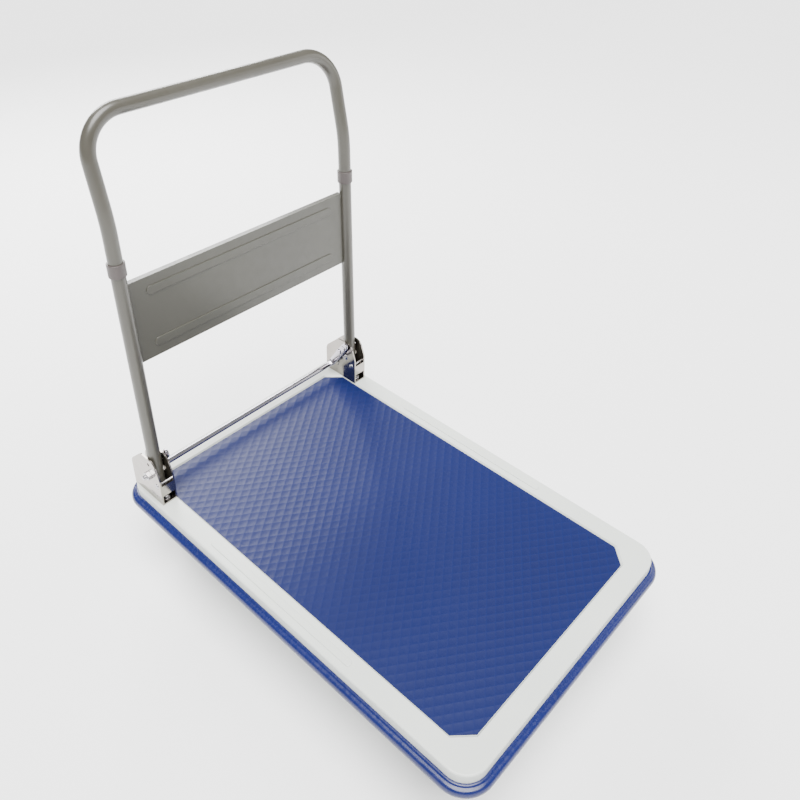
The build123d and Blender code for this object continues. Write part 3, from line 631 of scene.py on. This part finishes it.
def hex_rings(flats, height, bore=0.0, both=False):
    """Rings of a hexagon head or nut that stands on z = 0, chamfered on top, or on both sides."""
    ring_count = 36
    inner_flat = flats / 2
    rim = inner_flat * 0.96
    rings = {"foot": [], "low": [], "high": [], "top": []}
    for j in range(ring_count):
        a = 2 * math.pi * j / ring_count
        far = inner_flat / math.cos((a + math.pi / 6) % (math.pi / 3) - math.pi / 6)
        drop = (far - rim) * 0.5
        c, s = math.cos(a), math.sin(a)
        rings["foot"].append(Vector((rim * c, rim * s, 0.0)))
        rings["low"].append(Vector((far * c, far * s, drop if both else 0.0)))
        rings["high"].append(Vector((far * c, far * s, height - drop)))
        rings["top"].append(Vector((rim * c, rim * s, height)))
    order = [rings["foot"], rings["low"], rings["high"], rings["top"]]
    if not both:
        order = order[1:]
    if bore:
        order += [circle(bore, z, ring_count) for z in (height, 0.0)]
    return order


def thread_rings(radius, pitch, start, stop):
    """A screw thread along z, with a small chamfer at its end."""
    rings = []
    ring_count = 24
    levels = max(int((stop - start) / pitch * 6), 4)
    for i in range(levels + 1):
        z = start + (stop - start) * i / levels
        ring = []
        for j in range(ring_count):
            a = 2 * math.pi * j / ring_count
            phase = (z / pitch - j / ring_count) % 1.0
            depth = 0.55 * pitch * (1 - abs(2 * phase - 1))
            taper = max(0.0, z - (stop - pitch)) * 0.8
            r = min(radius - depth, radius - taper)
            ring.append(Vector((r * math.cos(a), r * math.sin(a), z)))
        rings.append(ring)
    return rings


def joined(name, *parts):
    """One mesh from several."""
    mesh = bmesh.new()
    for part in parts:
        mesh.from_mesh(part)
    data = bpy.data.meshes.new(name)
    mesh.to_mesh(data)
    mesh.free()
    return data


m8_flats, m8_head = 0.013, 0.0053
m10_flats, m10_head, m10_nut, m10_pitch = 0.016, 0.0046, 0.008, 0.0015
washer_thick = 0.0014

m8_bolt = skin("m8_bolt", hex_rings(m8_flats, m8_head))
washer = skin("washer", [circle(0.0078, 0.0), circle(0.0080, 0.0003), circle(0.0080, 0.0011),
                         circle(0.0077, washer_thick)])
raised_head = skin("head", hex_rings(m8_flats, m8_head))
raised_head.transform(Matrix.Translation((0, 0, washer_thick)))
washer_bolt = joined("washer_bolt", washer, raised_head)
m8_nut = joined("m8_nut", skin("nut", hex_rings(m8_flats, 0.0065, 0.004, True), loop=True),
                skin("end", thread_rings(0.004, 0.00125, 0.0, 0.0095)))
pivot_nut = joined("pivot_nut", skin("nut", hex_rings(m10_flats, m10_nut, 0.005, True), loop=True),
                   skin("end", thread_rings(0.005, m10_pitch, 0.0, 0.015)))


def bolt_and_nut(name, grip):
    """An M10 bolt from its head at z = 0 up, with its nut beyond the grip."""
    head = skin("head", hex_rings(m10_flats, m10_head))
    head.transform(Matrix.Rotation(math.pi, 4, "X"))
    shank = skin("shank", [circle(0.00498, z, 24) for z in (0.0, grip)])
    nut = skin("nut", hex_rings(m10_flats, m10_nut, 0.005, True), loop=True)
    end = skin("end", thread_rings(0.005, m10_pitch, 0.0, 0.011))
    for part in (nut, end):
        part.transform(Matrix.Translation((0, 0, grip)))
    return joined(name, head, shank, nut, end)


print("bolt", len(m8_bolt.polygons), "nut", len(m8_nut.polygons), "faces")


# %% [markdown]
# ## Placing fasteners with Geometry Nodes
# Every bolt of one size is the same shape at another place. The tree takes a cloud of points,
# each of which stores how it is turned, and puts the prototype on each. Realize Instances makes
# them real faces, which any other program can read.

# %% The tree that places fasteners
def placing_tree():
    tree = Tree("place_on_points", {"prototype": "NodeSocketObject", "finish": "NodeSocketMaterial"})
    turn = tree.add("GeometryNodeInputNamedAttribute", {"data_type": "FLOAT_VECTOR"}, Name="turn")
    shape = tree.add("GeometryNodeObjectInfo", Object=tree.given["prototype"])
    points = tree.add("GeometryNodeMeshToPoints", Mesh=tree.given["Geometry"])
    placed = tree.add("GeometryNodeInstanceOnPoints", Points=points.outputs[0],
                      Instance=shape.outputs["Geometry"])
    euler = tree.add("FunctionNodeEulerToRotation", Euler=turn.outputs[0])
    tree.tree.links.new(euler.outputs[0], placed.inputs["Rotation"])
    real = tree.add("GeometryNodeRealizeInstances", Geometry=placed.outputs[0])
    done = tree.add("GeometryNodeSetMaterial", Geometry=real.outputs[0], Material=tree.given["finish"])
    tree.tree.links.new(done.outputs[0], tree.result["Geometry"])
    return tree


placing = placing_tree()
facing = {"up": (0, 0, 0), "down": (math.pi, 0, 0),
          "left": (-math.pi / 2, 0, 0), "right": (math.pi / 2, 0, 0)}


def place(name, prototype, spots, material, body, slot, *replaced):
    """Puts a prototype on spots, each a place and a facing, as one piece."""
    cloud = bpy.data.meshes.new(name + "_points")
    cloud.from_pydata([spot for spot, way in spots], [], [])
    turns = cloud.attributes.new("turn", "FLOAT_VECTOR", "POINT")
    for i, (spot, way) in enumerate(spots):
        turns.data[i].vector = facing.get(way, way)
    model = bpy.data.objects.new("prototype", prototype)
    bpy.context.scene.collection.objects.link(model)
    data = placing.run(cloud, name, prototype=model, finish=material)
    bpy.data.objects.remove(model)
    return piece(name, data, material, body, slot, *replaced, smooth=28.0)


def islands(node):
    """The separate solids of a part, each as its lowest and highest corner."""
    mesh = bmesh.new()
    mesh.from_mesh(nodes[node].data)
    bmesh.ops.remove_doubles(mesh, verts=mesh.verts, dist=1e-6)
    todo = set(mesh.verts)
    found = []
    while todo:
        group = {todo.pop()}
        edge = list(group)
        while edge:
            for link in edge.pop().link_edges:
                for vertex in link.verts:
                    if vertex in todo:
                        todo.discard(vertex)
                        group.add(vertex)
                        edge.append(vertex)
        xs, ys, zs = zip(*[v.co for v in group])
        found.append((Vector((min(xs), min(ys), min(zs))), Vector((max(xs), max(ys), max(zs)))))
    mesh.free()
    return sorted(found, key=lambda corners: tuple(corners[0]))


# %% [markdown]
# ## Where the fasteners sit
# The engineering model already holds every bolt and nut as a plain solid. Each one's own box says
# where it is, so the detailed shape goes exactly there. The rows differ in which end of the box
# they start from and which way they face.

# %% Place the bolts and nuts of brackets and casters
def upright(node, z_of, way):
    """A spot at the middle of each solid of a part, at the height that z_of gives."""
    return [(((a.x + b.x) / 2, (a.y + b.y) / 2, z_of(a, b)), way) for a, b in islands(node)]


rows = [("bracket_bolt_heads", washer_bolt, "bracket_bolts", lambda a, b: b.z - m8_head, "up"),
        ("bracket_nuts_below", m8_nut, "bracket_nuts", lambda a, b: b.z, "down"),
        ("caster_bolt_heads", m8_bolt, "caster_bolts", lambda a, b: a.z + m8_head, "down"),
        ("caster_nuts_above", m8_nut, "caster_nuts", lambda a, b: a.z, "up")]
for name, shape, node, z_of, way in rows:
    place(name, shape, upright(node, z_of, way), zinc_fasteners, "deck", "zinc_fasteners", node)


# %% [markdown]
# ## The pivot nuts
# The handle turns on two bolts whose nuts sit on the outer ears. The thread stands well out of
# them, which is the first thing one notices on the bracket.

# %% Place the handle's pivot nuts, with their long thread ends
spots = []
for a, b in islands("pivot_nuts"):
    left = a.y > 0
    spots.append((((a.x + b.x) / 2, a.y if left else b.y, (a.z + b.z) / 2), "left" if left else "right"))
place("pivot_nuts_and_threads", pivot_nut, spots, zinc_fasteners, "deck", "zinc_fasteners", "pivot_nuts")


# %% [markdown]
# ## The handle's pivot bolts
# The bolt's head, inside the bracket, is a low dome. A dome is turned on a lathe, and the same
# helper turns it here: rings of growing and shrinking radius along the bolt's axis.

# %% Turn the pivot bolts
def turned(name, stations, centre, count=40):
    """A round piece along Y: stations are (radius, y) from one end to the other."""
    rings = []
    for radius, y in stations:
        rings.append([Vector((centre.x + radius * math.cos(2 * math.pi * j / count), y,
                              centre.z + radius * math.sin(2 * math.pi * j / count))) for j in range(count)])
    return skin(name, rings)


heads = []
for a, b in islands("pivot_bolts"):
    centre = (a + b) / 2
    side_sign = 1 if centre.y > 0 else -1
    inside = min(abs(a.y), abs(b.y))
    stations = [(0.0005, 0.0), (0.0045, 0.0002), (0.0073, 0.0007), (0.0087, 0.0013), (0.009, 0.0018),
                (0.00498, 0.0018), (0.00498, 0.0342)]
    stations = [(r, side_sign * (inside + y)) for r, y in stations]
    heads.append(turned("pivot_bolt", stations, centre))
piece("pivot_bolt_heads", joined("pivot_bolt_heads", *heads), zinc_fasteners, "deck", "zinc_fasteners",
      "pivot_bolts", smooth=40.0)


# %% [markdown]
# ## The stop rivets
# A rivet across both ears lies just under each folded leg. Its ends were hammered flat, so its
# heads are low and round-edged. It is turned like the bolt head, with a head at both ends.

# %% Turn the stop pins, whose ends were hammered into flat rivet heads
rivets = []
for a, b in islands("stop_pins"):
    centre = (a + b) / 2
    length = b.y - a.y
    stations = [(0.0005, 0.0), (0.0036, 0.0001), (0.0050, 0.0005), (0.0056, 0.0010), (0.0058, 0.0016),
                (0.0040, 0.0016)]
    stations += [(r, length - y) for r, y in reversed(stations)]
    rivets.append(turned("stop_pin", [(r, a.y + y) for r, y in stations], centre))
piece("stop_rivets", joined("stop_rivets", *rivets), zinc_fasteners, "deck", "zinc_fasteners", "stop_pins",
      smooth=40.0)


# %% [markdown]
# ## Wheels
# A caster wheel is a moulded core with a hard rubber tyre. Both are turned shapes, so one closed
# section is carried round the axle. The core's thin web would be floppy, so real ones have
# ribs on both sides. Six ribs a side come from the same tree that placed the bolts, and a
# shallow groove runs round the tread.

# %% Wheel sections and ribs
def both_ways(half):
    """A section that is the same on both sides: half of it, then its mirror image."""
    return [(r, -y) for r, y in half] + list(reversed(half))


tyre_section = both_ways([(50.0, 15.2), (54.0, 16.0), (57.6, 15.7), (60.2, 14.5), (61.8, 12.4),
                          (62.5, 9.6), (62.5, 3.4), (61.4, 2.6)])
core_section = both_ways([(9.06, 18.0), (16.2, 18.0), (17.0, 17.2), (17.0, 5.0), (18.5, 3.5),
                          (41.5, 3.5), (43.0, 5.0), (43.0, 14.2), (43.8, 15.0), (50.0, 15.0)])


def round_axle(name, section, centre, count=72):
    """A closed section of (radius, y) points in millimetres, carried round an axle along Y."""
    rings = []
    for i in range(count):
        a = 2 * math.pi * i / count
        rings.append([Vector((centre.x + r / 1000 * math.cos(a), centre.y + y / 1000,
                              centre.z + r / 1000 * math.sin(a))) for r, y in section])
    return skin(name, rings, loop=True)


def rib_shape():
    """One rib, from the hub to the rim, tapered like a moulded wall."""
    rings = []
    for radius, top in ((0.0160, 0.0135), (0.0240, 0.0110), (0.0345, 0.0100), (0.0436, 0.0120)):
        outline = ((0.003, -0.0015), (0.003, 0.0015), (top, 0.0010), (top, -0.0010))
        rings.append([Vector((radius, y, z)) for y, z in outline])
    return skin("rib", rings)


rib = rib_shape()
mirrored_rib = rib.copy()
for vertex in mirrored_rib.vertices:
    vertex.co.y = -vertex.co.y
mirrored_rib.flip_normals()
rib_pair = joined("rib_pair", rib, mirrored_rib)

# %% [markdown]
# ## Four wheels
# All four wheels are the same, so one loop makes them. Each takes its centre from its own tyre in
# the engineering model and rides on its own body, so that it can roll.

# %% Make the wheels
for end in ("rear", "front"):
    for side_name in ("left", "right"):
        wheel = f"{end}_wheel_{side_name}"
        low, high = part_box(f"{end}_tyre_{side_name}")
        centre = (low + high) / 2
        piece(f"{end}_tyre_{side_name}_tread", round_axle("tyre", tyre_section, centre, 96), tyre_rubber,
              wheel, "tyre_rubber", f"{end}_tyre_{side_name}", smooth=40.0)
        piece(f"{end}_core_{side_name}", round_axle("core", core_section, centre), wheel_plastic, wheel,
              "wheel_plastic", f"{end}_wheel_core_{side_name}", smooth=40.0)
        spots = [(tuple(centre), (0.0, math.radians(60 * i + 15), 0.0)) for i in range(6)]
        place(f"{end}_ribs_{side_name}", rib_pair, spots, wheel_plastic, wheel, "wheel_plastic")

# %% [markdown]
# ## Axles and kingpins
# Each wheel turns on a bolt through its fork, and each rear fork turns on an upright bolt, the
# kingpin. Both are the same bolt and nut with another distance between them.

# %% Axle bolts and kingpins
axle_shape = bolt_and_nut("axle", 0.044)
kingpin_shape = bolt_and_nut("kingpin", 0.0123)
for end in ("rear", "front"):
    for side_name, sign in (("left", 1), ("right", -1)):
        low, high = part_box(f"{end}_axle_bolt_{side_name}")
        x, z = (low.x + high.x) / 2, (low.z + high.z) / 2
        y = low.y + m10_head if sign > 0 else high.y - m10_head
        body = f"swivel_{side_name}" if end == "rear" else "deck"
        place(f"{end}_axle_{side_name}", axle_shape, [((x, y, z), side_name)], zinc_fasteners, body,
              "zinc_fasteners", f"{end}_axle_bolt_{side_name}", f"{end}_axle_nut_{side_name}")
for side_name in ("left", "right"):
    low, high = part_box(f"kingpin_{side_name}")
    spot = ((low.x + high.x) / 2, (low.y + high.y) / 2, high.z - m10_head)
    place(f"kingpin_bolt_{side_name}", kingpin_shape, [(spot, "down")], zinc_fasteners,
          f"swivel_{side_name}", "zinc_fasteners", f"kingpin_{side_name}", f"kingpin_nut_{side_name}")


# %% [markdown]
# ## Welds
# The panel is tacked to the legs and the cross plate to the bracket's ears. A weld bead is a row
# of small overlapping puddles, so a flattened blob on evenly spaced points makes one. The beads
# that move with the handle and those that stay with the deck are two pieces.

# %% Weld beads
def blob(wide, tall):
    mesh = bmesh.new()
    bmesh.ops.create_icosphere(mesh, subdivisions=2, radius=1.0)
    bmesh.ops.scale(mesh, vec=(wide, wide, tall), verts=mesh.verts)
    data = bpy.data.meshes.new("blob")
    mesh.to_mesh(data)
    mesh.free()
    return data


bead_step = 0.0023
panel_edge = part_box("back_panel")[1].y - 0.0004
seam_behind = 0.0018
lean = math.radians(1.5)
pivot = sum(islands("pivot_bolts")[0], Vector()) / 2
spots = []
for sign in (1, -1):
    for up in (0.2555, 0.3200, 0.3925):
        for i in range(8):
            along = up + bead_step * i
            x = pivot.x - math.sin(lean) * along - math.cos(lean) * seam_behind
            z = pivot.z + math.cos(lean) * along
            spots.append(((x, sign * panel_edge, z), "up"))
place("panel_welds", blob(0.0021, 0.0017), spots, handle_paint, "handle", "handle_paint")

bracket_low, bracket_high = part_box("bracket_left")
cross_plate_low = 0.2145
spots = []
for sign in (1, -1):
    for y in (bracket_low.y + 0.0034, bracket_high.y - 0.0034):
        for i in range(10):
            z = cross_plate_low + bead_step * i
            spots.append(((bracket_high.x - 0.0032, sign * y, z), "up"))
place("bracket_welds", blob(0.0017, 0.0015), spots, bright_plate, "deck", "bright_plate")
